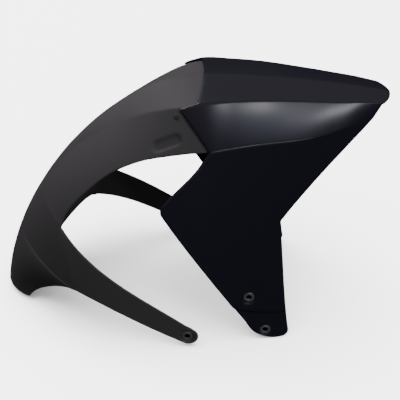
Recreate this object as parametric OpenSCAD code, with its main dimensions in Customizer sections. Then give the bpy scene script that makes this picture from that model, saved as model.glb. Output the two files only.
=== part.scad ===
// Motorcycle front mudguard: two lapped mouldings with flanged steel collars.
// Millimetres. +X to the nose, +Y to the rider's left, +Z up, floor at z = 0.

/* [Wheel] */
// place of the wheel axle along X
axle_x = 92; // [80:1:100]
// height of the wheel axle over the floor plane
axle_z = -6; // [-12:1:0]

/* [Shell] */
// wall of both mouldings
wall = 2.6; // [2.2:0.1:3]
// air between the cowl and the hugger margin under it
lap_gap = 0.7; // [0.6:0.1:0.8]
// extra depth of the hugger margin under the cowl
lap_sink = 0.6; // [0.5:0.1:0.8]
// angle at which the hidden hugger margin ends under the cowl
lap_end_angle = -10; // [-11:0.5:-9]
// width over the two arm ends
arm_span = 246; // [242:1:250]
// width over the two feet at the floor plane
foot_span = 214; // [210:1:218]
// radius at which the flared flank meets the centre plane
flare_r = 326; // [324:1:328]

/* [Fixings] */
// bore of every steel collar
collar_bore_d = 6.6; // [6.2:0.1:7]
// sleeve diameter of every steel collar
collar_sleeve_d = 9.6; // [9:0.1:10]
// flange diameter of every steel collar
collar_flange_d = 13.4; // [12.6:0.2:14]
// flange thickness of every steel collar
collar_flange_t = 1.4; // [1.2:0.1:1.6]
// air round each sleeve and flange
collar_fit = 0.15; // [0.1:0.05:0.25]
// depth of the round dish at each arm end
arm_dish_depth = 2.2; // [2:0.1:2.6]
// depth of the round dishes in the feet
foot_dish_depth = 3; // [2.6:0.1:3.2]
// diameter of the dish
dish_d = 16; // [15:0.5:17]
// diameter of the boss behind the dish
boss_d = 20; // [19:0.5:21]
// head diameter of the seam rivets
rivet_head_d = 7; // [6:0.5:8]
// shank diameter of the seam rivets
rivet_shank_d = 3.6; // [3:0.2:4]

/* [Details] */
// inward step of the tab at the bottom of each foot
tab_step = 2.4; // [1.5:0.1:3]
// length of the oval dimple in the hugger flank
dimple_l = 38; // [34:1:42]
// width of the oval dimple
dimple_w = 13; // [11:1:15]
// depth of the oval dimple
dimple_depth = 1.2; // [0.8:0.1:1.4]

/* [Hidden] */
gloss = [0.05, 0.05, 0.08];
satin = [0.17, 0.16, 0.17];
steel = [0.70, 0.70, 0.72];
step_in = wall + lap_gap;
arm_half = arm_span / 2;
foot_half = foot_span / 2;

// Roof stations: angle from the vertical over the axle, ridge radius,
// shoulder half-width, shoulder radius, outward bow of the flank below it.
ROOF = [[-90, 332.6, 12, 330.8, 0.24], [-72, 323.4, 12, 321.8, 0.17],
        [-58, 320.4, 12, 318.8, 0.15], [-45, 323, 14, 319.6, 0.13],
        [-38, 325.6, 23.8, 318.4, 0.10], [-32, 328.5, 31, 317.7, 0.08],
        [-26, 331.6, 39.5, 318.8, 0.07], [-21, 332.3, 48.8, 319, 0.06],
        [-17, 330, 55.8, 319.3, 0.05], [-13, 325, 57.3, 317.8, 0.05],
        [-7, 319, 53.2, 312.8, 0.05], [0, 315.2, 48.3, 310, 0.05],
        [7, 314.7, 43, 309.3, 0.05], [14, 317.8, 37.8, 312.6, 0.05],
        [20, 323.5, 31.7, 319.4, 0.04], [26, 331, 24, 328, 0.03]];

// Lower crease of the cowl and lower edge of the hugger: angle, radius, half-width.
CREASE = [[-59, 282.4, 76], [-54, 286.6, 72], [-46, 286.8, 72], [-38, 286.4, 72.4],
          [-30, 282.5, 76], [-24, 277.5, 80.5], [-19, 273.8, 83.6], [-14, 270.6, 85.5],
          [-9, 269.4, 82.2], [-2.2, 269.4, 77], [5.4, 271.8, 70.2], [10.8, 276.6, 63.8],
          [15, 284.2, 56.5], [18.9, 294.5, 47.8], [23.5, 306.5, 35], [27, 316, 24]];

// Smooth curve through stations.
function seg(tab, x, i = 1) = i >= len(tab) - 1 || x < tab[i][0] ? i : seg(tab, x, i + 1);
function slope(tab, i, c) =
    i == 0 ? (tab[1][c] - tab[0][c]) / (tab[1][0] - tab[0][0])
    : i == len(tab) - 1 ? (tab[i][c] - tab[i - 1][c]) / (tab[i][0] - tab[i - 1][0])
    : (tab[i + 1][c] - tab[i - 1][c]) / (tab[i + 1][0] - tab[i - 1][0]);
function smooth(tab, x, c) =
    let (b = seg(tab, x), a = b - 1, h = tab[b][0] - tab[a][0], t = (x - tab[a][0]) / h)
    (1 + 2 * t) * (1 - t) * (1 - t) * tab[a][c] + t * (1 - t) * (1 - t) * h * slope(tab, a, c)
    + t * t * (3 - 2 * t) * tab[b][c] + t * t * (t - 1) * h * slope(tab, b, c);
function mix(a, b, t) = a + (b - a) * t;
function unit(a) = a / norm(a);
function bez(p, t) = (1 - t) ^ 3 * p[0] + 3 * t * (1 - t) ^ 2 * p[1]
    + 3 * t * t * (1 - t) * p[2] + t ^ 3 * p[3];
function clamp(x, a, b) = min(b, max(a, x));

// A point over the axle at an angle, a radius and a half-width.
function about(phi, rho, y) = [axle_x + rho * sin(phi), y, axle_z + rho * cos(phi)];
function radius_of(x, z) = norm([x - axle_x, z - axle_z]);
function angle_of(x, z) = atan2(x - axle_x, z - axle_z);

// Flared flank of the hugger: half-width at a radius, and the slope of it.
function flare(r) = arm_half * max(0.001, 1 - (min(r, flare_r) / flare_r) ^ 5) ^ 0.8;
function flare_slope(r) = (flare(r + 0.5) - flare(r - 0.5));
function flare_normal(x, z) =
    let (r = radius_of(x, z), s = flare_slope(r))
    unit([-s * (x - axle_x) / r, 1, -s * (z - axle_z) / r]);

// Master surface: v = 0 ridge, 1 shoulder, 2 crease or edge.
function crown_power(phi) = clamp(1.15 + (-phi - 26) / 20, 1.15, 2);
function crease_point(phi) = about(phi, smooth(CREASE, phi, 1), smooth(CREASE, phi, 2));
function roof(phi, e, v) =
    let (rr = smooth(ROOF, phi, 1), w = smooth(ROOF, phi, 2), rs = smooth(ROOF, phi, 3))
    v <= 1 ? about(phi, rr - (rr - rs) * v ^ crown_power(phi), w * v)
    : let (s = about(phi, rs, w), t = v - 1, d = e - s, along = [cos(phi), 0, -sin(phi)],
           n = unit(cross(along, d)), h = (s + e) / 2 + smooth(ROOF, phi, 4) * norm(d) * n)
      (1 - t) ^ 2 * s + 2 * t * (1 - t) * h + t * t * e;

// Joggle of the hugger margin under the cowl.
function sink_at(phi) = let (t = clamp((phi + 20) / 3, 0, 1)) lap_sink * t * t * (3 - 2 * t);

// Points of a grid moved along their normals.
function grid_normal(g, i, j, up) =
    let (n = len(g) - 1, m = len(g[0]) - 1,
         a = g[min(n, i + 1)][j] - g[max(0, i - 1)][j],
         b = g[i][min(m, j + 1)] - g[i][max(0, j - 1)])
    up * unit(cross(a, b));
function moved(g, d, up) = [for (i = [0:len(g) - 1]) [for (j = [0:len(g[0]) - 1])
    g[i][j] + d * grid_normal(g, i, j, up)]];
function flat(g) = [for (row = g) each row];
function mirror_y(p) = [p[0], -p[1], p[2]];

// Rows from the right edge over the ridge to the left edge.
function both(half) = let (m = len(half[0]) - 1) [for (row = half)
    [for (j = [m:-1:1]) mirror_y(row[j]), for (j = [0:m]) row[j]]];

// Two triangles of a cell, cut along either diagonal.
function cell(a, b, c, d, turned) = turned ? [[a, b, d], [b, c, d]] : [[a, b, c], [a, c, d]];

// Closed skin between two grids of the same size.
module shell(outer, inner) {
    n = len(outer);
    m = len(outer[0]);
    k = n * m;
    ring = [for (j = [0:m - 2]) j, for (i = [0:n - 2]) i * m + m - 1,
            for (j = [m - 1:-1:1]) (n - 1) * m + j, for (i = [n - 1:-1:1]) i * m];
    q = len(ring);
    top = [for (i = [0:n - 2], j = [0:m - 2])
        each cell(i * m + j, i * m + j + 1, i * m + m + j + 1, i * m + m + j, 2 * j < m - 1)];
    low = [for (t = top) [t[2] + k, t[1] + k, t[0] + k]];
    rim = [for (i = [0:q - 1]) each
        [[ring[(i + 1) % q], ring[i], ring[i] + k],
         [ring[(i + 1) % q], ring[i] + k, ring[(i + 1) % q] + k]]];
    polyhedron(concat(flat(outer), flat(inner)), concat(top, low, rim));
}

// Cowl outline in side view: x and z.
WING_TOP = [[26.7, 253], [15.4, 229], [-8.5, 216], [-24, 196]];
WING_REAR = [[-24.3, 188.5], [7.8, 131.4], [45, 76.4], [81.2, 21.7]];
FOOT = [[81.2, 21.7], [86.3, 15.5], [133, -15], [129.6, 11]];
FOOT_FRONT = [[113.4, 162.3], [119.7, 111.3], [121.8, 61.2], [129.6, 11]];
FRONT_EDGE = [[113.4, 162.3], [147, 209], [184, 248], [214, 275]];
seam_end_angle = -13.3;
crease_end_angle = 23.5;

// Seam of the cowl over the hugger and the front of the nose, as angles.
ear_v = 1.05;
ear_angle = -17.9;
function seam_angle(v) = v <= 1 ? -12.6 - 1.3 * v * v
    : mix(ear_angle, seam_end_angle, clamp((v - ear_v) / (2 - ear_v), 0, 1));
function nose_angle(v) = v <= 1 ? 25.8 - 1.6 * v ^ 2.5 : mix(24.2, crease_end_angle, v - 1);

cowl_cols = 24;
roof_steps = [0, 0.25, 0.5, 0.75, 1, 1.05, 1.16, 1.32, 1.5, 1.7, 1.86, 2];
wing_rows = 7;
leg_steps = [0, 0.1, 0.22, 0.34, 0.46, 0.58, 0.7, 0.8, 0.84, 0.9, 0.95, 1];
tab_start = 0.82;

// Side panel: a plane through both ends of the crease and the foot, bulged up to the crease.
nose_ref = [214, 35, 275];
seam_ref = [30, 84, 258];
foot_ref = [105, foot_half, 4];
plane_n = cross(seam_ref - nose_ref, foot_ref - nose_ref);
function plane_y(x, z) = nose_ref[1]
    - (plane_n[0] * (x - nose_ref[0]) + plane_n[2] * (z - nose_ref[2])) / plane_n[1];
function crease_angle_at(x) =
    let (a = asin(clamp((x - axle_x) / 270, -0.6, 0.6)),
         b = asin(clamp((x - axle_x) / smooth(CREASE, clamp(a, -14, 24), 1), -0.6, 0.6)))
    clamp(b, seam_end_angle, crease_end_angle);
function panel_y(x, z) = let (c = crease_point(crease_angle_at(x)),
    t = clamp((c[2] - z) / (c[2] - foot_ref[2]), 0, 1))
    plane_y(x, z) + (c[1] - plane_y(c[0], c[2])) * (1 - t) ^ 2;
function on_panel(p, sunk = 0) = [p[0], panel_y(p[0], p[1]) - sunk, p[1]];
function wing_point(u, t) = on_panel(mix(bez(WING_TOP, t),
    bez(FRONT_EDGE, mix(1, 0.03, t)), u));
function leg_point(u, t) = on_panel(
    mix(bez(WING_REAR, t), bez(FOOT_FRONT, t), u)
    + t ^ 8 * (bez(FOOT, u) - mix(FOOT[0], FOOT[3], u)), t > tab_start ? tab_step : 0);
function cowl_roof_point(u, v) = let (phi = mix(seam_angle(v), nose_angle(v), u))
    roof(phi, crease_point(phi), v);
function cowl_column(u) = concat([for (v = roof_steps) cowl_roof_point(u, v)],
    [for (i = [1:wing_rows]) wing_point(u, i / wing_rows)], [for (t = leg_steps) leg_point(u, t)]);
cowl_grid = both([for (i = [0:cowl_cols]) cowl_column(i / cowl_cols)]);

// Hugger outline: tail edge, root line of the arm, both edges of the arm.
TAIL_EDGE = [[-201, 45, 8], [-187, 46, 26], [-150, 96, 71.5], [-129.8, 103.8, 69.5]];
ARM_TOP = [[-146.2, 141.5], [-97.9, 101.1], [-39.5, 68.8], [10.4, 28]];
ARM_LOW = [[-129.8, 69.5], [-84, 56], [-42.3, 27.3], [0.8, 6.7]];
tip_centre = [7.2, 16.7];
tip_r = 12;
tip_low_angle = -123;
tip_top_angle = 74;

tail_cols = 7;
root_cols = 7;
edge_cols = 22;
arm_rows = 14;
function on_flare(p) = [p[0], flare(radius_of(p[0], p[1])), p[1]];
function root_point(t) = on_flare(mix(ARM_LOW[0], ARM_TOP[0], t));
function lifted(p) = p + step_in * flare_normal(p[0], p[2]);
hugger_edge = concat(
    [for (i = [0:tail_cols - 1]) lifted(bez(TAIL_EDGE, i / tail_cols))],
    [for (i = [0:root_cols]) lifted(root_point(i / root_cols))],
    [for (i = [1:edge_cols]) crease_point(mix(-58.3, lap_end_angle, i / edge_cols))]);
function hugger_column(e) = let (phi = angle_of(e[0], e[2]))
    [for (v = roof_steps) roof(phi, e, v)];
hugger_master = both([for (e = hugger_edge) hugger_column(e)]);
hugger_n = len(hugger_master);
hugger_m = len(hugger_master[0]);
root_lo = tail_cols;
root_hi = tail_cols + root_cols;

// One row across the hugger, with the root of the arms set on the flare.
function at_root(i, j) = (j == 0 || j == hugger_m - 1) && i >= root_lo && i <= root_hi;
function side_of(p, j) = j == 0 ? mirror_y(p) : p;
hugger_outer = [for (i = [0:hugger_n - 1]) [for (j = [0:hugger_m - 1])
    at_root(i, j) ? side_of(root_point((i - root_lo) / root_cols), j)
    : hugger_master[i][j] - (step_in + sink_at(angle_of(hugger_edge[i][0], hugger_edge[i][2])))
        * grid_normal(hugger_master, i, j, 1)]];
hugger_inner = [for (i = [0:hugger_n - 1]) [for (j = [0:hugger_m - 1])
    let (p = hugger_outer[i][j])
    at_root(i, j) ? p - wall * side_of(flare_normal(p[0], p[2]), j)
    : p - wall * grid_normal(hugger_outer, i, j, 1)]];

// Arm points from the root to the rounded end.
function tip_point(c) = let (a = mix(tip_low_angle, tip_top_angle, c))
    tip_centre + tip_r * [cos(a), sin(a)];
function arm_point(c, s) = on_flare(mix(bez(ARM_LOW, s), bez(ARM_TOP, s), c)
    + s ^ 6 * (tip_point(c) - mix(ARM_LOW[3], ARM_TOP[3], c)));
arm_outer = [for (c = [0:root_cols]) [for (s = [1:arm_rows])
    arm_point(c / root_cols, s / arm_rows)]];
arm_inner = [for (row = arm_outer) [for (p = row) p - wall * flare_normal(p[0], p[2])]];

module hugger_skin() {
    n = hugger_n;
    m = hugger_m;
    body = n * m;
    arm = (root_cols + 1) * arm_rows;
    k = body + 2 * arm;
    function id(i, j) = j >= m ? body + (i - root_lo) * arm_rows + j - m
        : j < 0 ? body + arm + (i - root_lo) * arm_rows - j - 1 : i * m + j;
    outer = concat(flat(hugger_outer), flat(arm_outer), [for (p = flat(arm_outer)) mirror_y(p)]);
    inner = concat(flat(hugger_inner), flat(arm_inner), [for (p = flat(arm_inner)) mirror_y(p)]);
    cells = concat([for (i = [0:n - 2], j = [0:m - 2]) [i, j]],
        [for (i = [root_lo:root_hi - 1], j = [m - 1:m + arm_rows - 2]) [i, j]],
        [for (i = [root_lo:root_hi - 1], j = [-arm_rows:-1]) [i, j]]);
    top = [for (c = cells) let (i = c[0], j = c[1]) each
        cell(id(i, j), id(i, j + 1), id(i + 1, j + 1), id(i + 1, j), 2 * j < m - 1)];
    far = m + arm_rows - 1;
    ring = concat([for (j = [0:m - 2]) id(0, j)],
        [for (i = [0:root_lo - 1]) id(i, m - 1)],
        [for (j = [m - 1:far - 1]) id(root_lo, j)],
        [for (i = [root_lo:root_hi - 1]) id(i, far)],
        [for (j = [far:-1:m]) id(root_hi, j)],
        [for (i = [root_hi:n - 2]) id(i, m - 1)],
        [for (j = [m - 1:-1:1]) id(n - 1, j)],
        [for (i = [n - 1:-1:root_hi + 1]) id(i, 0)],
        [for (j = [0:-1:1 - arm_rows]) id(root_hi, j)],
        [for (i = [root_hi:-1:root_lo + 1]) id(i, -arm_rows)],
        [for (j = [-arm_rows:-1]) id(root_lo, j)],
        [for (i = [root_lo:-1:1]) id(i, 0)]);
    q = len(ring);
    low = [for (t = top) [t[2] + k, t[1] + k, t[0] + k]];
    rim = [for (i = [0:q - 1]) each
        [[ring[(i + 1) % q], ring[i], ring[i] + k],
         [ring[(i + 1) % q], ring[i] + k, ring[(i + 1) % q] + k]]];
    polyhedron(concat(outer, inner), concat(top, low, rim));
}

// Fixing points: x, outer face y, z and the depth of the dish.
upper_fix = concat(on_panel([79.5, 63.9]), foot_dish_depth);
lower_fix = concat(on_panel([101, 13], tab_step), foot_dish_depth);
arm_fix = concat(on_flare([5.8, 16.7]), arm_dish_depth);
boss_t = 3;
sleeve_out = 0.6;
boss_skin = 0.4;
patch_half = 12;

// Cylinder along Y from y0 to y1 at a fixing point.
module along_y(fix, d, y0, y1) {
    translate([fix[0], y0, fix[2]]) rotate([-90, 0, 0]) cylinder(d = d, h = y1 - y0, $fn = 48);
}

// Solid behind the outer face of the side panel around a fixing point.
module behind_panel(fix, sunk) {
    steps = [-1:0.5:1];
    outer = [for (a = steps) [for (b = steps)
        on_panel([fix[0] + patch_half * a, fix[2] - patch_half * b], sunk + boss_skin)]];
    shell(outer, [for (row = outer) [for (q = row) [q[0], fix[1] - 12, q[2]]]]);
}

module fixing_boss(fix, sunk) {
    intersection() {
        along_y(fix, boss_d, fix[1] - fix[3] - boss_t, fix[1] + 6);
        behind_panel(fix, sunk);
    }
}

module arm_boss(fix) {
    along_y(fix, boss_d, fix[1] - fix[3] - boss_t, fix[1] - boss_skin);
}

module fixing_cut(fix) {
    along_y(fix, dish_d, fix[1] - fix[3], fix[1] + 6);
    along_y(fix, collar_sleeve_d + 2 * collar_fit, fix[1] - fix[3] - boss_t - 4, fix[1]);
}

module fixing_collar(fix) {
    floor_y = fix[1] - fix[3];
    back_y = floor_y - boss_t - sleeve_out;
    difference() {
        union() {
            along_y(fix, collar_flange_d, floor_y, floor_y + collar_flange_t);
            along_y(fix, collar_sleeve_d, back_y, floor_y + 0.5);
        }
        along_y(fix, collar_bore_d, back_y - 1, fix[1] + 1);
    }
}

// Seam rivets and the tongues of the cowl they pass through.
rivet_angle = -18.9;
rivet_v = 1.2;
tongue_gap = 0.5;
tongue_t = 2.2;
tongue_half_v = 0.11;
tongue_end_angle = -21;
tongue_root_angle = -7.4;
lap_clear = 0.5;
function master_point(phi, v) = roof(phi, crease_point(phi), v);
function master_normal(phi, v) =
    unit(cross(master_point(phi + 0.2, v) - master_point(phi - 0.2, v),
        master_point(phi, v + 0.02) - master_point(phi, v - 0.02)));
function under(phi, v, d) = master_point(phi, v) - d * master_normal(phi, v);
tongue_angles = [tongue_end_angle, -18.9, -16, -13, lap_end_angle + lap_clear - 0.1,
    lap_end_angle + lap_clear + 0.2, tongue_root_angle];
tongue_top = step_in + wall + tongue_gap;
function tongue_depth(phi) = phi < lap_end_angle + lap_clear ? tongue_top : wall / 2;
tongue_vs = [for (i = [-2:2]) rivet_v + i / 2 * tongue_half_v];
tongue_outer = [for (a = tongue_angles) [for (v = tongue_vs) under(a, v, tongue_depth(a) + sink_at(a))]];
tongue_inner = [for (a = tongue_angles) [for (v = tongue_vs) under(a, v, tongue_top + tongue_t + sink_at(a))]];

// Places a child with its Z along the surface normal.
module on_surface(phi, v, d) {
    p = under(phi, v, d);
    n = master_normal(phi, v);
    t = unit(cross(n, cross([cos(phi), 0, -sin(phi)], n)));
    b = cross(n, t);
    multmatrix([[t[0], b[0], n[0], p[0]], [t[1], b[1], n[1], p[1]], [t[2], b[2], n[2], p[2]]])
        children();
}

module rivet_hole() {
    on_surface(rivet_angle, rivet_v, 0)
        translate([0, 0, -14]) cylinder(d = rivet_shank_d + 0.3, h = 14, $fn = 32);
}

module seam_rivet() {
    reach = tongue_gap + wall + tongue_t + 0.4;
    on_surface(rivet_angle, rivet_v, step_in + sink_at(rivet_angle)) {
        translate([0, 0, 0.1]) cylinder(d1 = rivet_head_d, d2 = rivet_head_d - 2, h = 1.1, $fn = 48);
        translate([0, 0, -reach]) cylinder(d = rivet_shank_d, h = reach + 0.6, $fn = 48);
        translate([0, 0, -reach - 1]) cylinder(d = rivet_head_d - 1, h = 1, $fn = 48);
    }
}

module dimple_cut() {
    half = (dimple_l - dimple_w) / 2;
    on_surface(-22.6, 1.72, step_in + dimple_depth) {
        for (s = [-1, 1]) translate([s * half, 0, 0]) cylinder(d = dimple_w, h = 5, $fn = 48);
        translate([-half, -dimple_w / 2, 0]) cube([2 * half, dimple_w, 5]);
    }
}

module sides() {
    children();
    mirror([0, 1, 0]) children();
}

module front_cowl() {
    color(gloss) difference() {
        union() {
            shell(cowl_grid, moved(cowl_grid, -wall, 1));
            sides() {
                shell(tongue_outer, tongue_inner);
                fixing_boss(upper_fix, 0);
                fixing_boss(lower_fix, tab_step);
            }
        }
        sides() {
            fixing_cut(upper_fix);
            fixing_cut(lower_fix);
            rivet_hole();
        }
    }
}

module rear_hugger() {
    color(satin) difference() {
        union() {
            hugger_skin();
            sides() arm_boss(arm_fix);
        }
        sides() {
            fixing_cut(arm_fix);
            rivet_hole();
            dimple_cut();
        }
    }
}

module arm_collar_left() { color(steel) fixing_collar(arm_fix); }
module arm_collar_right() { color(steel) mirror([0, 1, 0]) fixing_collar(arm_fix); }
module foot_collar_upper_left() { color(steel) fixing_collar(upper_fix); }
module foot_collar_upper_right() { color(steel) mirror([0, 1, 0]) fixing_collar(upper_fix); }
module foot_collar_lower_left() { color(steel) fixing_collar(lower_fix); }
module foot_collar_lower_right() { color(steel) mirror([0, 1, 0]) fixing_collar(lower_fix); }
module seam_rivet_left() { color(satin) seam_rivet(); }
module seam_rivet_right() { color(satin) mirror([0, 1, 0]) seam_rivet(); }

front_cowl();
rear_hugger();
arm_collar_left();
arm_collar_right();
foot_collar_upper_left();
foot_collar_upper_right();
foot_collar_lower_left();
foot_collar_lower_right();
seam_rivet_left();
seam_rivet_right();
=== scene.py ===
"""Looks of a motorcycle front mudguard: a gloss cowl lapped over a satin hugger.

The outlines are worked out in millimetres in the same way as the part's source, and
put into the meshes in metres. +X points to the nose, +Y to the rider's left, +Z up.
"""
import math

import bpy
import numpy as np
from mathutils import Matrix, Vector


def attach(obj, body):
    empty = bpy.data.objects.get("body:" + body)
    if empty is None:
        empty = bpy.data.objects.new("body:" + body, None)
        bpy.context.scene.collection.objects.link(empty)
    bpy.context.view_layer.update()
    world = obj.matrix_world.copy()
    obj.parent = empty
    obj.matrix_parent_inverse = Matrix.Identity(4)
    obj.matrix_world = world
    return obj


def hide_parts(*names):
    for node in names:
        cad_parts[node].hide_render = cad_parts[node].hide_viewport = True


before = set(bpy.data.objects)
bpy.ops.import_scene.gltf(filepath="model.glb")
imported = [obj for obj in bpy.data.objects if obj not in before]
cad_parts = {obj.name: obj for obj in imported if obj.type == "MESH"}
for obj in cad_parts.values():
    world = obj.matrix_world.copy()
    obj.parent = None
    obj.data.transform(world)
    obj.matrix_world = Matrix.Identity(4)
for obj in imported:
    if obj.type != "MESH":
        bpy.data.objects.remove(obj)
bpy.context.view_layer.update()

bl_info = {
    "name": "Motorcycle Front Mudguard",
    "version": (1, 0, 0),
    "blender": (4, 5, 0),
    "location": "3D View > Sidebar > Mudguard",
    "description": "Builds the gloss cowl, the satin hugger and their fixings",
    "category": "Add Mesh",
}

MM = 0.001

# Wheel axle and the shape of both mouldings, in millimetres.
AXLE = (92.0, -6.0)
ARM_HALF = 123.0
FOOT_HALF = 107.0
FLARE_R = 326.0

# Roof stations: angle, ridge radius, shoulder half-width, shoulder radius, flank bow.
ROOF = np.array([
    [-90, 332.6, 12, 330.8, 0.24], [-72, 323.4, 12, 321.8, 0.17],
    [-58, 320.4, 12, 318.8, 0.15], [-45, 323, 14, 319.6, 0.13],
    [-38, 325.6, 23.8, 318.4, 0.10], [-32, 328.5, 31, 317.7, 0.08],
    [-26, 331.6, 39.5, 318.8, 0.07], [-21, 332.3, 48.8, 319, 0.06],
    [-17, 330, 55.8, 319.3, 0.05], [-13, 325, 57.3, 317.8, 0.05],
    [-7, 319, 53.2, 312.8, 0.05], [0, 315.2, 48.3, 310, 0.05],
    [7, 314.7, 43, 309.3, 0.05], [14, 317.8, 37.8, 312.6, 0.05],
    [20, 323.5, 31.7, 319.4, 0.04], [26, 331, 24, 328, 0.03]])

# Lower crease of the cowl and lower edge of the hugger: angle, radius, half-width.
CREASE = np.array([
    [-59, 282.4, 76], [-54, 286.6, 72], [-46, 286.8, 72], [-38, 286.4, 72.4],
    [-30, 282.5, 76], [-24, 277.5, 80.5], [-19, 273.8, 83.6], [-14, 270.6, 85.5],
    [-9, 269.4, 82.2], [-2.2, 269.4, 77], [5.4, 271.8, 70.2], [10.8, 276.6, 63.8],
    [15, 284.2, 56.5], [18.9, 294.5, 47.8], [23.5, 306.5, 35], [27, 316, 24]])

# Side-view outlines of the cowl's side panel: x and z.
WING_TOP = [[26.7, 253], [15.4, 229], [-8.5, 216], [-24, 196]]
WING_REAR = [[-24.3, 188.5], [7.8, 131.4], [45, 76.4], [81.2, 21.7]]
FOOT = [[81.2, 21.7], [89, 1], [134, -8], [129.6, 11]]
FOOT_FRONT = [[113.4, 162.3], [119.7, 111.3], [121.8, 61.2], [129.6, 11]]
FRONT_EDGE = [[113.4, 162.3], [147, 209], [184, 248], [214, 275]]

# Plane of the side panel, through both ends of the crease and the foot.
NOSE_REF = np.array([214.0, 35, 275])
SEAM_REF = np.array([30.0, 84, 258])
FOOT_REF = np.array([105.0, FOOT_HALF, 4])

# Outlines of the hugger: tail edge, and both edges and the round end of the arm.
TAIL_EDGE = [[-201, 45, 8], [-187, 46, 26], [-150, 96, 71.5], [-129.8, 103.8, 69.5]]
ARM_TOP = [[-146.2, 141.5], [-97.9, 101.1], [-39.5, 68.8], [10.4, 28]]
ARM_LOW = [[-129.8, 69.5], [-84, 56], [-42.3, 27.3], [0.8, 6.7]]
TIP_CENTRE = (7.2, 16.7)
TIP_R = 12.0
TIP_ANGLES = (-123.0, 74.0)

# Seam and nose angles, the joggle under the seam and the tab of the foot.
SEAM_END = -13.3
EAR_V = 1.05
EAR_ANGLE = -17.9
CREASE_END = 23.5
LAP_END = -10.0
LAP_SINK = 0.6
TAB_START = 0.826
TAB_STEP = 2.4

# Places of the fixings: x and z of each axis.
UPPER_FIX = (79.5, 63.9)
LOWER_FIX = (101.0, 13.0)
ARM_FIX = (5.8, 16.7)
LEDGE_Z = 33.0

# Places on the outer surface: angle and the crosswise parameter.
RIVET = (-18.9, 1.2)
DIMPLE = (-22.6, 1.72)

# Dishes round the fixings, the bosses behind them and the holes through both.
FOOT_DISH_DEPTH = 3.0
ARM_DISH_DEPTH = 2.2
DISH_FLOOR = 3.0
DISH_INSET = 0.3
DISH_SLOPE = 1.1
BOSS_SLOPE = 0.9
LOWER_DISH_R = 6.8
LOWER_BOSS_R = 7.0
SIDE_FROM = 60.0
COLLAR_HOLE_R = 4.95
RIVET_HOLE_R = 1.95

# Collar: bore, sleeve and flange radius, depth in the wall and thickness of the flange.
BORE_R = 3.3
SLEEVE_R = 4.8
FLANGE_R = 6.7
SLEEVE_DEPTH = 3.6
FLANGE = 1.4
COLLAR_EDGE = 0.35


# Curves and surfaces

def smooth(table, x, column):
    """Cubic through a table's stations; each slope is that between its neighbours."""
    xs, ys = table[:, 0], table[:, column]
    slope = np.empty(len(xs))
    slope[1:-1] = (ys[2:] - ys[:-2]) / (xs[2:] - xs[:-2])
    slope[0] = (ys[1] - ys[0]) / (xs[1] - xs[0])
    slope[-1] = (ys[-1] - ys[-2]) / (xs[-1] - xs[-2])
    b = np.clip(np.searchsorted(xs, x, side="right"), 1, len(xs) - 1)
    a = b - 1
    h = xs[b] - xs[a]
    t = (x - xs[a]) / h
    s = 1 - t
    return ((1 + 2 * t) * s * s * ys[a] + t * s * s * h * slope[a]
            + t * t * (3 - 2 * t) * ys[b] - t * t * s * h * slope[b])


def bezier(points, t):
    """Cubic through four control points, at each t."""
    p = np.asarray(points, float)
    t = np.asarray(t, float)[..., None]
    s = 1 - t
    return s**3 * p[0] + 3 * t * s * s * p[1] + 3 * t * t * s * p[2] + t**3 * p[3]


def mix(a, b, t):
    """Straight way from a to b."""
    return a + (b - a) * t


def ramp(x):
    """Smooth step: 0 below 0, 1 above 1, with level ends."""
    x = np.clip(x, 0, 1)
    return x * x * (3 - 2 * x)


def unit(a):
    """Vectors brought to length one."""
    return a / np.maximum(np.linalg.norm(a, axis=-1, keepdims=True), 1e-12)


def about(phi, rho, y):
    """Point at an angle from the vertical over the axle, a radius and a half-width."""
    phi, rho, y = np.broadcast_arrays(np.radians(phi), rho, y)
    return np.stack([AXLE[0] + rho * np.sin(phi), y, AXLE[1] + rho * np.cos(phi)], -1)


def radius_of(x, z):
    """Distance from the axle in side view."""
    return np.hypot(x - AXLE[0], z - AXLE[1])


def flare(r):
    """Half-width of the flared flank: arm half times (1 - (r / R)^5)^0.8."""
    return ARM_HALF * np.maximum(0.001, 1 - (np.minimum(r, FLARE_R) / FLARE_R) ** 5) ** 0.8


def on_flare(p):
    """Point of the flared flank at each x and z."""
    return np.stack([p[..., 0], flare(radius_of(p[..., 0], p[..., 1])), p[..., 1]], -1)


def flare_normal(p):
    """Outward normal of the flared flank, from its slope over a millimetre."""
    dx, dz = p[..., 0] - AXLE[0], p[..., 2] - AXLE[1]
    r = np.hypot(dx, dz)
    slope = flare(r + 0.5) - flare(r - 0.5)
    return unit(np.stack([-slope * dx / r, np.ones_like(r), -slope * dz / r], -1))


def crease_point(phi):
    """Point of the crease at an angle."""
    return about(phi, smooth(CREASE, phi, 1), smooth(CREASE, phi, 2))


def roof(phi, edge, v):
    """Roof from ridge (v 0) over shoulder (v 1) to an edge point (v 2).

    The crown falls from ridge to shoulder radius with a power of v, which is near one
    where the ridge is creased. The flank is a quadratic arc bowed out along its normal.
    """
    phi = np.asarray(phi, float)
    ridge, width, shoulder, bow = (smooth(ROOF, phi, c) for c in (1, 2, 3, 4))
    power = np.clip(1.15 + (-phi - 26) / 20, 1.15, 2)
    low = np.clip(v, 0, 1)
    crown = about(phi, ridge - (ridge - shoulder) * low**power, width * low)
    s = about(phi, shoulder, width)
    d = edge - s
    a = np.radians(phi)
    along = np.stack(np.broadcast_arrays(np.cos(a), np.zeros_like(a), -np.sin(a)), -1)
    reach = np.linalg.norm(d, axis=-1, keepdims=True)
    h = (s + edge) / 2 + np.asarray(bow)[..., None] * reach * unit(np.cross(along, d))
    t = np.clip(np.asarray(v, float) - 1, 0, 1)[..., None]
    flank = (1 - t) ** 2 * s + 2 * t * (1 - t) * h + t * t * edge
    return np.where((np.asarray(v) <= 1)[..., None], crown, flank)


def sink_at(phi):
    """Joggle that takes the hugger's margin down under the cowl."""
    return LAP_SINK * ramp((phi + 20) / 3)


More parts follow.
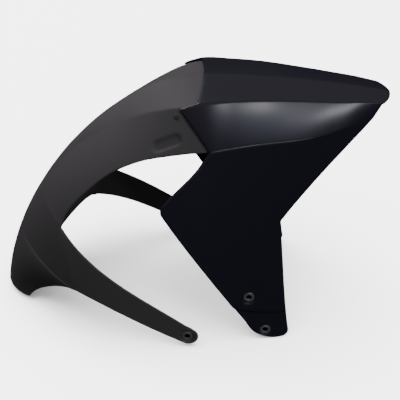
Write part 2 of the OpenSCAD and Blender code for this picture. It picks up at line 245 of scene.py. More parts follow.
def seam_angle(v):
    """Angle at which the cowl starts: shallow over the crown, with an ear on the flank."""
    crown = -12.6 - 1.3 * np.minimum(v, 1) ** 2
    ear = mix(-13.9, EAR_ANGLE, np.clip((v - 1) / (EAR_V - 1), 0, 1))
    flank = mix(EAR_ANGLE, SEAM_END, np.clip((v - EAR_V) / (2 - EAR_V), 0, 1))
    return np.where(v <= 1, crown, np.where(v < EAR_V, ear, flank))


def nose_angle(v):
    """Angle at which the nose ends."""
    return np.where(v <= 1, 25.8 - 1.6 * np.minimum(v, 1) ** 2.5,
                    mix(24.2, CREASE_END, np.clip(v - 1, 0, 1)))


def plane_y(x, z):
    """Half-width of the side panel's plane."""
    n = np.cross(SEAM_REF - NOSE_REF, FOOT_REF - NOSE_REF)
    return NOSE_REF[1] - (n[0] * (x - NOSE_REF[0]) + n[2] * (z - NOSE_REF[2])) / n[1]


def panel_y(x, z):
    """Plane of the panel, bulged up to meet the crease by the square of the height."""
    a = np.degrees(np.arcsin(np.clip((x - AXLE[0]) / 270, -0.6, 0.6)))
    rho = smooth(CREASE, np.clip(a, -14, 24), 1)
    b = np.degrees(np.arcsin(np.clip((x - AXLE[0]) / rho, -0.6, 0.6)))
    c = crease_point(np.clip(b, SEAM_END, CREASE_END))
    t = np.clip((c[..., 2] - z) / (c[..., 2] - FOOT_REF[2]), 0, 1)
    return plane_y(x, z) + (c[..., 1] - plane_y(c[..., 0], c[..., 2])) * (1 - t) ** 2


def on_panel(p, sunk=0.0):
    """Point of the side panel at each x and z, let in by a depth."""
    return np.stack([p[..., 0], panel_y(p[..., 0], p[..., 1]) - sunk, p[..., 1]], -1)


def master_point(phi, v):
    """Point of the cowl's outer surface, which the hugger follows underneath."""
    return roof(phi, crease_point(phi), v)


def surface_frame(phi, v):
    """Point, lengthwise tangent, crosswise tangent and normal of the outer surface."""
    phi, v = np.float64(phi), np.float64(v)
    p = master_point(phi, v)
    n = unit(np.cross(master_point(phi + 0.2, v) - master_point(phi - 0.2, v),
                      master_point(phi, v + 0.02) - master_point(phi, v - 0.02)))
    a = np.radians(phi)
    t = unit(np.cross(n, np.cross([np.cos(a), 0, -np.sin(a)], n)))
    return p, t, np.cross(n, t), n


# Spacing of the grids

def edge_steps(r, count=4):
    """Distances from an edge that space its rounding evenly: r times 1 - cos."""
    return r * (1 - np.cos(np.linspace(0, np.pi / 2, count + 1)))


def spaced(length, r, middle):
    """Distances along a line: rounding steps at both ends and even ones between."""
    near = edge_steps(r)
    between = np.linspace(r, length - r, middle + 1)[1:-1]
    return np.concatenate([near, between, (length - near)[::-1]])


def by_density(start, end, curve, cell):
    """Parameters from start to end whose points lie about cell(point) apart."""
    t = np.linspace(start, end, 2001)
    p = curve(t)
    step = np.linalg.norm(np.diff(p, axis=0), axis=1)
    want = cell(p[:-1])
    want = np.convolve(np.pad(want, 20, mode="edge"), np.ones(41) / 41, "valid")
    count = np.concatenate([[0], np.cumsum(step / want)])
    return np.interp(np.linspace(0, count[-1], int(np.ceil(count[-1])) + 1), count, t)


def softened(grid, passes):
    """Grid smoothed along its second axis with the weights 1, 2, 1.

    The first column mirrors in the centre plane, and the last one runs straight on, so
    that it stays where it is.
    """
    for _ in range(passes):
        first = grid[:, 1] * [1, -1, 1]
        last = 2 * grid[:, -1] - grid[:, -2]
        padded = np.concatenate([first[:, None], grid, last[:, None]], 1)
        grid = (padded[:, :-2] + 2 * padded[:, 1:-1] + padded[:, 2:]) / 4
    return grid


# Skins with a wall and rounded edges

def cells(index):
    """Quads of an index grid, which face along its first axis crossed with its second."""
    quads = [index[:-1, :-1], index[1:, :-1], index[1:, 1:], index[:-1, 1:]]
    return np.stack(quads, -1).reshape(-1, 4)


def point_normals(points, quads):
    """Normals of points: sum of the crossed diagonals of the quads around each."""
    cross = np.cross(points[quads[:, 2]] - points[quads[:, 0]],
                     points[quads[:, 3]] - points[quads[:, 1]])
    total = np.zeros_like(points)
    for corner in range(4):
        for axis in range(3):
            total[:, axis] += np.bincount(quads[:, corner], cross[:, axis], len(points))
    return unit(total)


def border_of(quads, count):
    """For each border point its two neighbours on the border: edges used by one quad."""
    sides = np.concatenate([quads[:, [k, (k + 1) % 4]] for k in range(4)])
    key = np.sort(sides, 1)
    key = key[:, 0] * count + key[:, 1]
    _, first, times = np.unique(key, return_index=True, return_counts=True)
    single = sides[first[times == 1]]
    after = np.full(count, -1)
    before = np.full(count, -1)
    after[single[:, 0]] = single[:, 1]
    before[single[:, 1]] = single[:, 0]
    ring = np.unique(single)
    return ring, before[ring], after[ring]


def edge_distance(points, ring, before, after, reach):
    """Distance of each point from the border line, cut off at a reach."""
    far = np.full(len(points), reach)
    rim = points[ring]
    for start in range(0, len(points), 4096):
        part = points[start:start + 4096]
        gap = ((part[:, None].astype(np.float32) - rim[None].astype(np.float32)) ** 2).sum(-1)
        k = gap.argmin(1)
        best = np.full(len(part), np.inf)
        for other in (before, after):
            a = rim[k]
            d = points[other[k]] - a
            t = np.clip(((part - a) * d).sum(1) / np.maximum((d * d).sum(1), 1e-9), 0, 1)
            best = np.minimum(best, np.linalg.norm(part - a - t[:, None] * d, axis=1))
        far[start:start + 4096] = np.minimum(best, reach)
    return far


def walled(points, quads, wall, press, normals):
    """Closed skin of a wall's thickness whose edges are half-round.

    Both faces close in on the middle of the wall by a quarter circle over half the
    wall's thickness from the border, where they share their points.
    """
    ring, before, after = border_of(quads, len(points))
    r = wall / 2
    d = edge_distance(points, ring, before, after, r)
    drop = (r - np.sqrt(np.maximum(r * r - (r - d) ** 2, 0)))[:, None]
    drop[ring] = r
    outer = points - drop * normals
    inner = points - (wall - drop) * normals
    press(outer, inner)
    inside = np.ones(len(points), bool)
    inside[ring] = False
    partner = np.arange(len(points))
    partner[inside] = len(points) + np.arange(inside.sum())
    faces = np.concatenate([quads, partner[quads][:, ::-1]])
    return np.concatenate([outer, inner[inside]]), faces


def both_sides(half):
    """Whole grid from a half one: mirrored columns, the ridge, then the columns."""
    return np.concatenate([(half[:, :0:-1] * [1, -1, 1]), half], 1)


# The mouldings

def panel_dense(p):
    """Cell size along the leg: fine round both dishes and the ledge."""
    fine = ((np.abs(p[:, 2] - UPPER_FIX[1]) < 11) | (np.abs(p[:, 2] - LOWER_FIX[1]) < 13)
            | (np.abs(p[:, 2] - LEDGE_Z) < 8))
    return np.where(fine, 0.62, 2.3)


def skirt_rows(u, t):
    """Side panel from the crease (t 0) to the rear corner and the front edge (t 1)."""
    start = 1 / 7
    phi = mix(SEAM_END, CREASE_END, u)
    crease = crease_point(phi)

    def wing(u, t):
        front = bezier(FRONT_EDGE, mix(1, 0.03, t))
        return on_panel(mix(bezier(WING_TOP, t), front, u[..., None]))

    first = wing(u, np.full_like(u, start))
    blend = mix(crease, first, np.clip(t / start, 0, 1)[..., None])
    return np.where((t < start)[..., None], blend, wing(u, t))


def leg_rows(u, t):
    """Leg of the side panel from the corner (t 0) to the foot (t 1), with its let-in tab."""
    line = mix(bezier(WING_REAR, t), bezier(FOOT_FRONT, t), u[..., None])
    chord = mix(np.array(FOOT[0], float), np.array(FOOT[3], float), u[..., None])
    line = line + t[..., None] ** 8 * (bezier(FOOT, u) - chord)
    return on_panel(line, TAB_STEP * ramp((t - TAB_START) / 0.012 + 0.5))


def cowl_half(wall):
    """Half of the cowl's outer grid: columns from the seam to the nose, rows to the foot."""
    v = np.concatenate([np.linspace(0, 0.06, 5), np.linspace(0.1, 0.9, 19),
                        np.linspace(0.92, 1.1, 13), np.linspace(1.13, 1.9, 28),
                        np.linspace(1.915, 2, 7)])
    t = np.concatenate([np.linspace(0, 0.05, 5)[1:], np.linspace(0.075, 0.96, 34),
                        np.linspace(0.97, 1, 4)])

    def middle(q):
        return leg_rows(np.full_like(q, 0.5), q)

    end = 1 - edge_steps(wall / 2)[::-1] / 260
    q = np.concatenate([by_density(0, end[0], middle, panel_dense), end[1:]])
    u = np.linspace(0, 1, 481)
    grid_u, grid_v = np.meshgrid(u, v)
    phi = mix(seam_angle(grid_v), nose_angle(grid_v), grid_u)
    top = roof(phi, crease_point(phi), grid_v)
    skirt = skirt_rows(*np.meshgrid(u, t))
    leg = leg_rows(*np.meshgrid(u, q))
    step = np.linspace(0, 1, 5)[1:-1, None, None]
    corner = mix(skirt[-1][None], leg[0][None], step)
    rows = np.concatenate([top, skirt, corner, leg])
    length = np.concatenate([np.zeros((len(rows), 1)),
                             np.cumsum(np.linalg.norm(np.diff(rows, axis=1), axis=2), 1)], 1)
    made = []
    for row, far in zip(rows, length):
        at = spaced(far[-1], wall / 2, 76)
        made.append(np.stack([np.interp(at, far, row[:, k]) for k in range(3)], -1))
    return softened(np.array(made).transpose(1, 0, 2), 3)


def dished(fix, y_out, depth, radius, boss):
    """Function that presses a round dish and its boss on both sides of the part.

    A point's half-width goes over to the floor's by a smooth step of its distance from
    the fixing's axis. The back goes to the boss's level in the same way.
    """
    floor_y = y_out - depth

    def press(skin, level, radius, slope):
        gap = np.hypot(skin[:, 0] - fix[0], skin[:, 2] - fix[1])
        near = (gap < radius + slope) & (np.abs(skin[:, 1]) > SIDE_FROM)
        w = ramp((radius + slope - gap[near]) / slope)
        y = skin[near, 1]
        skin[near, 1] = mix(y, np.sign(y) * level, w)

    def both(outer, inner):
        press(outer, floor_y, radius, DISH_SLOPE)
        press(inner, floor_y - DISH_FLOOR, boss, BOSS_SLOPE)

    return both


def cowl_surface(sizes):
    """Points and faces of the cowl's shell."""
    wall = sizes.wall / MM
    half = cowl_half(wall)
    full = both_sides(half)
    index = np.arange(full.shape[0] * full.shape[1]).reshape(full.shape[:2])
    dish, boss = sizes.dish / MM / 2 - DISH_INSET, sizes.boss / MM / 2
    upper = dished(UPPER_FIX, panel_y(*UPPER_FIX), FOOT_DISH_DEPTH, dish, boss)
    lower = dished(LOWER_FIX, panel_y(*LOWER_FIX) - TAB_STEP, FOOT_DISH_DEPTH,
                   LOWER_DISH_R, LOWER_BOSS_R)

    def press(outer, inner):
        upper(outer, inner)
        lower(outer, inner)

    points, quads = full.reshape(-1, 3), cells(index)
    return walled(points, quads, wall, press, point_normals(points, quads))


def dimpled(sizes):
    """Function that presses the oval dimple into a skin on both sides of the part.

    The depth fades by a smooth step of the distance from the oval's outline.
    """
    centre, along, across, out = surface_frame(*DIMPLE)
    half = sizes.dimple_width / MM / 2
    straight = (sizes.dimple_length - sizes.dimple_width) / MM / 2

    def press(skin):
        for side in (1, -1):
            flip = np.array([1, side, 1])
            rel = skin * flip - centre
            a, b, h = rel @ along, rel @ across, rel @ out
            gap = np.hypot(np.maximum(np.abs(a) - straight, 0), b)
            sunk = sizes.dimple_depth / MM * ramp((half - gap) / 3.2)
            sunk = np.where(np.abs(h) < 14, sunk, 0)
            skin -= (sunk[:, None] * out) * flip

    return press


def arm_grid(wall):
    """Outer grid of one arm: rows across it, columns from its root to its round end.

    Each point lies between the lower and the upper edge, and goes over to the arc of the
    end by the sixth power of its way along the arm.
    """
    near = edge_steps(wall / 2)

    def middle(s):
        return on_flare(mix(bezier(ARM_LOW, s), bezier(ARM_TOP, s), 0.5))

    def cell(p):
        near_fix = np.hypot(p[:, 0] - ARM_FIX[0], p[:, 2] - ARM_FIX[1]) < 12
        return np.where(near_fix, 0.75, 2.4)

    s = by_density(0, 1 - near[-1] / 170, middle, cell)[1:]
    s = np.concatenate([s, 1 - near[::-1][1:] / 170])
    width = np.linalg.norm(bezier(ARM_TOP, s) - bezier(ARM_LOW, s), axis=1)
    c = np.stack([spaced(far, wall / 2, 34) / far for far in width], 1)
    turn = np.radians(mix(*TIP_ANGLES, c))
    tip = np.array(TIP_CENTRE) + TIP_R * np.stack([np.cos(turn), np.sin(turn)], -1)
    arm = mix(bezier(ARM_LOW, s)[None], bezier(ARM_TOP, s)[None], c[..., None])
    chord = mix(np.array(ARM_LOW[3], float), np.array(ARM_TOP[3], float), c[..., None])
    return on_flare(arm + s[None, :, None] ** 6 * (tip - chord))


def eased_root(strip, m):
    """Strip of body and arm, smoothed by a bell curve round column m - 1, the arm's root."""
    soft = softened(strip, 12)
    near_root = np.exp(-((np.arange(strip.shape[1]) - m + 1) / 9.0) ** 2)[None, :, None]
    row = np.arange(len(strip))
    inward = ramp(np.minimum(row, row[::-1]) / 5.0)
    return mix(strip, soft, near_root * inward[:, None, None])


def with_arms(half, arm, lo, hi):
    """Points, quads and normals of the whole hugger, arms joined at rows lo to hi.

    Away from its root an arm takes the normals of the flare.
    """
    body = both_sides(half)
    nb = body.shape[0] * body.shape[1]
    index = np.arange(nb).reshape(body.shape[:2])
    na = arm.shape[0] * arm.shape[1]
    left = nb + np.arange(na).reshape(arm.shape[:2])
    right = left + na
    left_strip = np.concatenate([index[lo:hi + 1, -1:], left], 1)
    right_strip = np.concatenate([right[:, ::-1], index[lo:hi + 1, :1]], 1)
    quads = np.concatenate([cells(index), cells(left_strip), cells(right_strip)])
    points = np.concatenate([body.reshape(-1, 3), arm.reshape(-1, 3),
                             arm.reshape(-1, 3) * [1, -1, 1]])
    normals = point_normals(points, quads)
    share = ramp(np.arange(arm.shape[1]) / 8.0)[None, :, None]
    for block, side in ((slice(nb, nb + na), 1), (slice(nb + na, nb + 2 * na), -1)):
        true = flare_normal(arm) * [1, side, 1]
        normals[block] = unit(mix(normals[block].reshape(arm.shape), true, share)).reshape(-1, 3)
    return points, quads, normals


def hugger_surface(sizes):
    """Points and faces of the hugger's shell.

    The body follows the outer surface a lap below it. The arms start from its flared
    flank with the same points, and run on along the flare to their round ends.
    """
    wall = sizes.wall / MM
    step = wall + sizes.lap_gap / MM
    near = edge_steps(wall / 2)
    w = np.concatenate([near / 68, np.linspace(near[-1] / 68, 1, 34)[1:]])
    root_line = np.array([ARM_LOW[0], ARM_TOP[0]], float)
    root_len = np.linalg.norm(root_line[1] - root_line[0])
    c = spaced(root_len, wall / 2, 34) / root_len
    lap = LAP_END - np.degrees(near[::-1] / 270)
    tail = bezier(TAIL_EDGE, w[:-1])
    root = on_flare(mix(root_line[0], root_line[1], c[:, None]))
    lift = np.concatenate([tail, root])
    lift = lift + step * flare_normal(lift)
    start = np.degrees(np.arctan2(lift[-1, 0] - AXLE[0], lift[-1, 2] - AXLE[1]))
    phi = np.concatenate([np.linspace(start, lap[0], 122)[1:], lap[1:]])
    gap = (lift[-1] - crease_point(start)) * (1 - ramp((phi - start) / 2.4))[:, None]
    edge = np.concatenate([lift, crease_point(phi) + gap])
    lo, hi = len(tail), len(tail) + len(root) - 1
    angle = np.degrees(np.arctan2(edge[:, 0] - AXLE[0], edge[:, 2] - AXLE[1]))
    shoulder = about(angle, smooth(ROOF, angle, 3), smooth(ROOF, angle, 2))
    flank = np.linalg.norm(edge - shoulder, axis=1)
    crown_v = np.concatenate([np.linspace(0, 0.06, 5), np.linspace(0.1, 0.9, 19),
                              np.linspace(0.93, 1, 4)])
    flank_v = np.linspace(0, 1, 34)[None, 1:] * (flank[:, None] - near[-1]) / flank[:, None]
    last_v = 1 - near[::-1][None, 1:] / flank[:, None]
    v = np.concatenate([np.tile(crown_v, (len(edge), 1)), 1 + flank_v, 1 + last_v], 1)
    master = roof(angle[:, None], edge[:, None], v)
    master = softened(master, 3)
    body = both_sides(master)
    index = np.arange(body.shape[0] * body.shape[1]).reshape(body.shape[:2])
    normals = point_normals(body.reshape(-1, 3), cells(index)).reshape(body.shape)
    m = master.shape[1]
    normals = normals[:, m - 1:]
    arc = np.concatenate([[0], np.cumsum(np.linalg.norm(np.diff(edge, axis=0), axis=1))])
    at_root = ramp((arc - arc[lo] + 10) / 10) * ramp((arc[hi] + 10 - arc) / 10)
    share = at_root[:, None] * ramp((v - 1.7) / 0.3)
    normals = unit(mix(normals, flare_normal(master), share[..., None]))
    under = master - (step + sink_at(angle))[:, None, None] * normals
    under[lo:hi + 1, -1] = root

    strip = eased_root(np.concatenate([under[lo:hi + 1], arm_grid(wall)], 1), m)
    under[lo:hi + 1] = strip[:, :m]
    points, quads, normals = with_arms(under, strip[:, m:], lo, hi)
    arm_fix = dished(ARM_FIX, flare(radius_of(*ARM_FIX)), ARM_DISH_DEPTH,
                     sizes.dish / MM / 2 - DISH_INSET, sizes.boss / MM / 2)
    dimple = dimpled(sizes)

    def press(outer, inner):
        arm_fix(outer, inner)
        dimple(outer)
        dimple(inner)

    return walled(points, quads, wall, press, normals)


def tongue_surface(sizes):
    """Points and faces of one tongue of the cowl, which a seam rivet passes through.

    Two grids of the surface under the hugger and a rim between them.
    """
    wall = sizes.wall / MM
    top = wall * 2 + sizes.lap_gap / MM + 0.5
    angles = np.array([-21, -20.3, -18.9, -17.5, -16, -14.5, -13, -11.2, -9.6, -9.3, -8.3, -7.4])
    vs = RIVET[1] + 0.11 * np.linspace(-1, 1, 9)
    phi, v = np.meshgrid(angles, vs, indexing="ij")
    p = master_point(phi, v)
    flat = p.reshape(-1, 3)
    index = np.arange(len(flat)).reshape(phi.shape)
    n = point_normals(flat, cells(index)).reshape(p.shape)
    start = np.where(phi < -9.5, top, wall / 2) + sink_at(phi)
    outer = p - start[..., None] * n
    inner = p - (top + 2.2 + sink_at(phi))[..., None] * n
    quads = cells(index)
    ring = np.concatenate([index[0, :-1], index[:-1, -1], index[-1, :0:-1], index[:0:-1, 0]])
    nxt = np.roll(ring, -1)
    rim = np.stack([ring, nxt, nxt + len(flat), ring + len(flat)], 1)
    faces = np.concatenate([quads, quads[:, ::-1] + len(flat), rim])
    return np.concatenate([outer.reshape(-1, 3), inner.reshape(-1, 3)]), faces


def turned(profile, count=72):
    """Closed ring surface: a profile of radius and height carried round the Z axis."""
    a = np.linspace(0, 2 * np.pi, count, endpoint=False)
    r, h = np.asarray(profile, float).T
    grid = np.stack([r[:, None] * np.cos(a), r[:, None] * np.sin(a),
                     np.broadcast_to(h[:, None], (len(r), count))], -1)
    index = np.arange(len(r) * count).reshape(len(r), count)
    wrap = np.concatenate([index, index[:, :1]], 1)
    wrap = np.concatenate([wrap, wrap[:1]])
    return grid.reshape(-1, 3), cells(wrap)


def placed(points, origin, x_axis, y_axis, z_axis):
    """Points carried into a frame of three axes at an origin."""
    return origin + points @ np.array([x_axis, y_axis, z_axis], float)


def rounded(corners, radius, steps=4):
    """Closed profile whose corners are arcs: each is a quadratic between its cut-backs."""
    p = np.asarray(corners, float)
    made = []
    for before, here, after in zip(np.roll(p, 1, 0), p, np.roll(p, -1, 0)):
        cut = min(radius, np.linalg.norm(before - here) / 2.1, np.linalg.norm(after - here) / 2.1)
        a = here + cut * unit(before - here)
        b = here + cut * unit(after - here)
        t = np.linspace(0, 1, steps)[:, None]
        made.append((1 - t) ** 2 * a + 2 * t * (1 - t) * here + t * t * b)
    return np.concatenate(made)


# Meshes

def make_mesh(name, points, faces):
    """Object from points in millimetres and faces of three or four points."""
    mesh = bpy.data.meshes.new(name)
    mesh.from_pydata((np.asarray(points) * MM).tolist(), [], faces.tolist())
    mesh.update()
    piece = bpy.data.objects.new(name, mesh)
    bpy.context.scene.collection.objects.link(piece)
    return piece


def apply_boolean(piece, tools, operation):
    """Piece cut by, or joined with, the tools, which are then taken away."""
    for tool in tools:
        step = piece.modifiers.new("step", "BOOLEAN")
        step.operation = operation
        step.solver = "MANIFOLD"
        step.object = tool
    graph = bpy.context.evaluated_depsgraph_get()
    mesh = bpy.data.meshes.new_from_object(piece.evaluated_get(graph))
    piece.modifiers.clear()
    piece.data = mesh
    for tool in tools:
        bpy.data.objects.remove(tool)
    if not len(piece.data.polygons):
        raise RuntimeError(piece.name + " came out empty")


def drill(name, radius, low, high, axes):
    """Cylinder with its axis along Z of a frame, from low to high."""
    origin, x_axis, y_axis, z_axis = axes
    points, faces = turned([[0.001, low], [radius, low], [radius, high], [0.001, high]], 64)
    return make_mesh(name, placed(points, origin, x_axis, y_axis, z_axis), faces)


def through_hole(fix, radius):
    """Cutter along Y through both sides at a fixing."""
    axes = (np.array([fix[0], 0, fix[1]]), [0, 0, 1], [1, 0, 0], [0, 1, 0])
    return drill("hole", radius, -150, 150, axes)


def rivet_axes(side):
    """Frame of a seam rivet: its point on the outer surface and three axes."""
    p, t, b, n = surface_frame(*RIVET)
    flip = np.array([1, side, 1])
    return p * flip, t * flip, b * flip * side, n * flip


def finish_piece(piece, material, nodes, angle=40):
    """Shading, material, body, slot and the CAD nodes that the piece stands for."""
    piece.data.shade_smooth()
    piece.data.set_sharp_from_angle(angle=math.radians(angle))
    piece.data.materials.clear()
    piece.data.materials.append(material)
    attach(piece, "root")
    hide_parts(*nodes)


# Materials

class Shader:
    """Short way to add and link the nodes of one tree."""

    def __init__(self, tree):
        self.tree = tree
        self.count = 0

    def add(self, kind, settings=None, **inputs):
        """New node with its settings, values and links."""
        node = self.tree.nodes.new(kind)
        node.location = (-1400 + 190 * (self.count % 8), 400 - 260 * (self.count // 8))
        self.count += 1
        for key, value in (settings or {}).items():
            setattr(node, key, value)
        for key, value in inputs.items():
            self.feed(node, key.replace("_", " "), value)
        return node

    def feed(self, node, name, value):
        """Value or link for one input, by name or number."""
        socket = node.inputs[int(name[1:])] if name[1:].isdigit() else node.inputs[name]
        if isinstance(value, bpy.types.NodeSocket):
            self.tree.links.new(value, socket)
        else:
            socket.default_value = value

    def noise(self, at, scale, detail=3.0, rough=0.5):
        """Noise factor at a scale per metre."""
        return self.add("ShaderNodeTexNoise", None, Vector=at, Scale=scale, Detail=detail,
                        Roughness=rough).outputs["Fac"]

    def fit(self, value, low, high):
        """Smooth step: 0 at the low value, 1 at the high one."""
        node = self.add("ShaderNodeMapRange", {"interpolation_type": "SMOOTHSTEP"})
        for name, v in (("Value", value), ("From Min", low), ("From Max", high)):
            self.feed(node, name, v)
        return node.outputs["Result"]

    def maths(self, operation, a, b):
        """Two values put together."""
        return self.add("ShaderNodeMath", {"operation": operation}, i0=a, i1=b).outputs[0]

    def blend(self, share, a, b):
        """Colour between two colours."""
        node = self.add("ShaderNodeMix", {"data_type": "RGBA"})
        self.feed(node, "i0", share)
        self.feed(node, "i6", a)
        self.feed(node, "i7", b)
        return node.outputs[2]


def new_group(name, inputs, outputs):
    """Empty shader node group with named sockets, its writer and its two ends."""
    tree = bpy.data.node_groups.new(name, "ShaderNodeTree")
    for label, kind, default in inputs:
        socket = tree.interface.new_socket(label, in_out="INPUT", socket_type=kind)
        if default is not None:
            socket.default_value = default
    for label, kind in outputs:
        tree.interface.new_socket(label, in_out="OUTPUT", socket_type=kind)
    shader = Shader(tree)
    return tree, shader, shader.add("NodeGroupInput"), shader.add("NodeGroupOutput")


def handling_group():
    """Dust film and fingered patches: a dulled colour and a roughness that varies."""
    tree, s, start, end = new_group(
        "Handled surface",
        [("Colour", "NodeSocketColor", (0.02, 0.02, 0.02, 1)),
         ("Dust colour", "NodeSocketColor", (0.2, 0.19, 0.18, 1)),
         ("Dust", "NodeSocketFloat", 0.1), ("Roughness", "NodeSocketFloat", 0.3),
         ("Patchiness", "NodeSocketFloat", 0.1)],
        [("Colour", "NodeSocketColor"), ("Roughness", "NodeSocketFloat")])
    at = s.add("ShaderNodeTexCoord").outputs["Object"]
    facing = s.add("ShaderNodeSeparateXYZ", None,
                   Vector=s.add("ShaderNodeNewGeometry").outputs["Normal"]).outputs["Z"]
    up = s.fit(facing, 0.1, 1.0)
    film = s.fit(s.noise(at, 14, 4), 0.35, 0.75)
    specks = s.fit(s.noise(at, 900, 2, 0.7), 0.60, 0.78)
    both = s.maths("ADD", s.maths("MULTIPLY", film, 0.6), s.maths("MULTIPLY", specks, 0.5))
    lying = s.maths("MULTIPLY", both, s.maths("MULTIPLY", up, start.outputs["Dust"]))
    colour = s.blend(lying, start.outputs["Colour"], start.outputs["Dust colour"])
    patches = s.maths("SUBTRACT", s.noise(at, 36, 5, 0.6), 0.45)
    change = s.maths("MULTIPLY", patches, start.outputs["Patchiness"])
    rough = s.maths("ADD", start.outputs["Roughness"],
                    s.maths("ADD", change, s.maths("MULTIPLY", lying, 0.8)))
    s.feed(end, "Colour", colour)
    s.feed(end, "Roughness", rough)
    return tree


def moulding_group():
    """Moulded relief: fine grain on a slow wave, as a height."""
    tree, s, start, end = new_group(
        "Moulded relief",
        [("Grain size", "NodeSocketFloat", 800.0), ("Grain", "NodeSocketFloat", 0.5),
         ("Wave size", "NodeSocketFloat", 40.0), ("Wave", "NodeSocketFloat", 0.5)],
        [("Height", "NodeSocketFloat")])
    at = s.add("ShaderNodeTexCoord").outputs["Object"]
    grain = s.maths("MULTIPLY", s.noise(at, start.outputs["Grain size"], 2),
                    start.outputs["Grain"])
    wave = s.maths("MULTIPLY", s.noise(at, start.outputs["Wave size"], 1),
                   start.outputs["Wave"])
    s.feed(end, "Height", s.maths("ADD", grain, wave))
    return tree


def use_group(shader, name, **values):
    """Node that places a group, with its own values."""
    return shader.add("ShaderNodeGroup", {"node_tree": bpy.data.node_groups[name]}, **values)


def new_material(name):
    """Material with a cleared tree: its writer and its surface shader."""
    material = bpy.data.materials.new(name)
    material.use_nodes = True
    tree = material.node_tree
    tree.nodes.clear()
    shader = Shader(tree)
    surface = shader.add("ShaderNodeBsdfPrincipled")
    out = shader.add("ShaderNodeOutputMaterial")
    tree.links.new(surface.outputs[0], out.inputs["Surface"])
    return material, shader, surface


def dress(s, surface, film, height, strength, distance):
    """Base colour and roughness from the handled film, and a bump from a height."""
    bump = s.add("ShaderNodeBump", None, Strength=strength, Distance=distance, Height=height)
    s.feed(surface, "Base Color", film.outputs["Colour"])
    s.feed(surface, "Roughness", film.outputs["Roughness"])
    s.feed(surface, "Normal", bump.outputs[0])


def gloss_material(look):
    """Near-black paint with a violet cast under a clear coat, faintly waved."""
    material, s, surface = new_material("gloss_black")
    at = s.add("ShaderNodeTexCoord").outputs["Object"]
    tint = s.blend(s.fit(s.noise(at, 9, 2), 0.3, 0.7), tuple(look.gloss) + (1,),
                   (0.0022, 0.0019, 0.0034, 1))
    film = use_group(s, "Handled surface", Colour=tint, Dust_colour=(0.10, 0.10, 0.10, 1),
                     Dust=0.02, Roughness=0.24, Patchiness=0.12)
    relief = use_group(s, "Moulded relief", Grain_size=420.0, Grain=0.25, Wave_size=60.0,
                       Wave=1.0)
    dress(s, surface, film, relief.outputs[0], 0.10, 0.0003)
    surface.inputs["IOR"].default_value = 1.45
    surface.inputs["Coat Weight"].default_value = 1.0
    surface.inputs["Coat Roughness"].default_value = look.coat_roughness
    surface.inputs["Coat IOR"].default_value = 1.5
    return material


def satin_material(look):
    """Moulded satin plastic with a painted sheen: lighter and cooler grey at the seam, darker and
    warmer towards the tail.
    """
    material, s, surface = new_material("satin_grey")
    at = s.add("ShaderNodeTexCoord").outputs["Object"]
    # Painted sheen: along X the base colour goes from the tail's darker colour to the seam's
    # lighter one, standing in for the light the crown catches near the cowl.
    x = s.add("ShaderNodeSeparateXYZ", None, Vector=at).outputs["X"]
    drift = s.maths("ADD", x, s.maths("MULTIPLY", s.noise(at, 11, 3), 0.06))
    share = s.fit(drift, -0.17, 0.03)
    base = s.blend(share, tuple(look.satin_tail) + (1,), tuple(look.satin_seam_sheen) + (1,))
    film = use_group(s, "Handled surface", Colour=base, Dust_colour=(0.22, 0.20, 0.19, 1),
                     Dust=0.05, Roughness=look.satin_roughness, Patchiness=0.14)
    relief = use_group(s, "Moulded relief", Grain_size=1500.0, Grain=0.8, Wave_size=45.0,
                       Wave=0.5)
    dress(s, surface, film, relief.outputs[0], 0.22, 0.0004)
    return material


def steel_material(look):
    """Plated steel, darkened as painted shade of the fixing holes, with turning marks round each
    collar.
    """
    material, s, surface = new_material("steel")
    at = s.add("ShaderNodeTexCoord").outputs["Object"]
    film = use_group(s, "Handled surface", Colour=tuple(look.steel) + (1,),
                     Dust_colour=(0.25, 0.23, 0.2, 1), Dust=0.1, Roughness=0.3,
                     Patchiness=0.25)
    stretch = s.add("ShaderNodeMapping", None, Vector=at, Scale=(1.0, 9.0, 1.0))
    marks = s.noise(stretch.outputs[0], 1600, 2)
    dress(s, surface, film, marks, 0.3, 0.0001)
    surface.inputs["Metallic"].default_value = 1.0
    return material


def rivet_material(look):
    """Grained nylon of the seam rivets."""
    material, s, surface = new_material("rivet_black")
    film = use_group(s, "Handled surface", Colour=tuple(look.rivet) + (1,),
                     Dust_colour=(0.3, 0.29, 0.28, 1), Dust=0.3, Roughness=0.42,
                     Patchiness=0.2)
    relief = use_group(s, "Moulded relief", Grain_size=2600.0, Grain=1.0, Wave_size=300.0,
                       Wave=0.5)
    dress(s, surface, film, relief.outputs[0], 0.3, 0.0003)
    return material


MATERIALS = {"gloss_black": gloss_material, "satin_grey": satin_material,
             "steel": steel_material, "rivet_black": rivet_material}


def material_of(slot):
    """The finish of a slot, made once with the groups that it uses."""
    if "Handled surface" not in bpy.data.node_groups:
        handling_group()
        moulding_group()
    return bpy.data.materials.get(slot) or MATERIALS[slot](bpy.context.scene.mudguard_look)


# Settings

def length(name, description, default, low, high):
    """Setting for a length in metres."""
    return bpy.props.FloatProperty(name=name, description=description, default=default,
                                   min=low, max=high, precision=4, unit="LENGTH")


def colour(name, description, default):
    """Setting for a colour."""
    return bpy.props.FloatVectorProperty(name=name, description=description, default=default,
                                         min=0, max=1, subtype="COLOR")


class MudguardSizes(bpy.types.PropertyGroup):
    """Sizes of the shells and their details."""

    wall: length("Wall", "Wall thickness of both mouldings", 0.0026, 0.002, 0.003)
    lap_gap: length(
        "Lap gap", "Air between the cowl and the hugger margin under it", 0.0007, 0.0005, 0.001)
    dish: length("Dish", "Diameter of the dish round each collar", 0.016, 0.015, 0.017)
    boss: length("Boss", "Diameter of the boss behind each dish", 0.020, 0.019, 0.021)
    dimple_length: length(
        "Dimple length", "Length of the oval dimple in the hugger", 0.038, 0.03, 0.042)
    dimple_width: length(
        "Dimple width", "Width of the oval dimple in the hugger", 0.015, 0.011, 0.017)
    dimple_depth: length(
        "Dimple depth", "Depth of the oval dimple in the hugger", 0.0022, 0.0005, 0.003)


